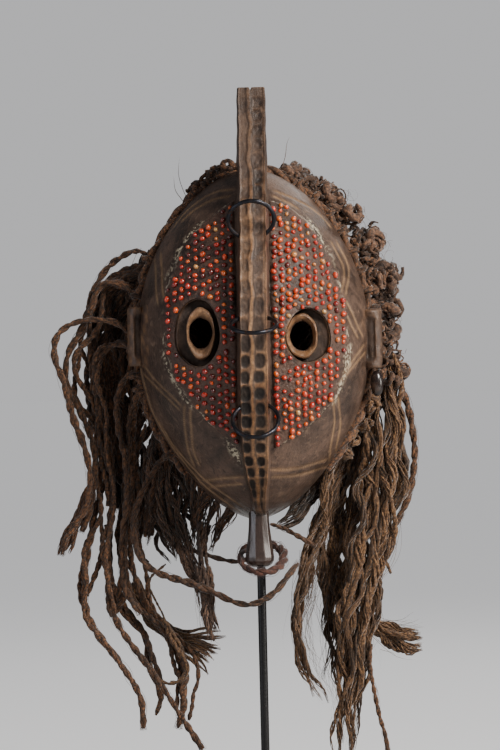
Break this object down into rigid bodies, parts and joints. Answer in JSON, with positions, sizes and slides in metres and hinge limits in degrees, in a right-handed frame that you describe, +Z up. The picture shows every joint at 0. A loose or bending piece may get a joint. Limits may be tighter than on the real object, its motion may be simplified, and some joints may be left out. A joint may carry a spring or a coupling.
{
  "type": "carved face mask with fibre fringe on a rod stand",
  "caption": "Carved wooden face mask with a notched crest, seed-set cheeks, iron rings and a fibre fringe, held upright on a black rod stand.",
  "frame": {"origin": "middle of the stand foot's underside, straight below the rod", "axes": "+Z up, the face looks towards -Y, +X is on the viewer's right"},
  "size_m": [0.3, 0.2173, 0.594],
  "materials": {
    "carved_wood": "dark grey-brown patinated wood, satin",
    "resin_bed": "dark plant resin, dull",
    "seeds": "glossy orange-red seeds",
    "iron": "dark wrought iron",
    "twisted_rope": "twisted plant fibre, matt",
    "loose_fibre": "loose brown plant fibre",
    "bead": "dark, polished by handling",
    "black_steel": "black gloss"
  },
  "bodies": {
    "root": {"mask": "carved_wood", "seed_bed_left": "resin_bed", "seed_bed_right": "resin_bed", "ring_top": "iron", "ring_middle": "iron", "ring_bottom": "iron", "chin_ring": "twisted_rope", "lug_bead": "bead", "rim_rope": "twisted_rope", "ruff": "loose_fibre", "cord_left_outer": "twisted_rope", "cord_left_long": "twisted_rope", "cord_left_arch": "twisted_rope", "cord_left_fall": "twisted_rope", "cord_left_braid": "twisted_rope", "cord_left_tail": "twisted_rope", "cord_swag": "twisted_rope", "cord_right_outer": "twisted_rope", "cord_right_thin": "twisted_rope", "cord_chin_strap": "twisted_rope", "hank_left": "loose_fibre", "hank_left_inner": "loose_fibre", "hank_flare": "loose_fibre", "hank_small": "loose_fibre", "hank_behind": "loose_fibre", "hank_right_main": "loose_fibre", "hank_right_inner": "loose_fibre", "hank_right_back": "loose_fibre", "hank_right_side": "loose_fibre", "stand_rod": "black_steel", "stand_cradle": "black_steel", "stand_foot": "black_steel"}
  },
  "joints": []
}
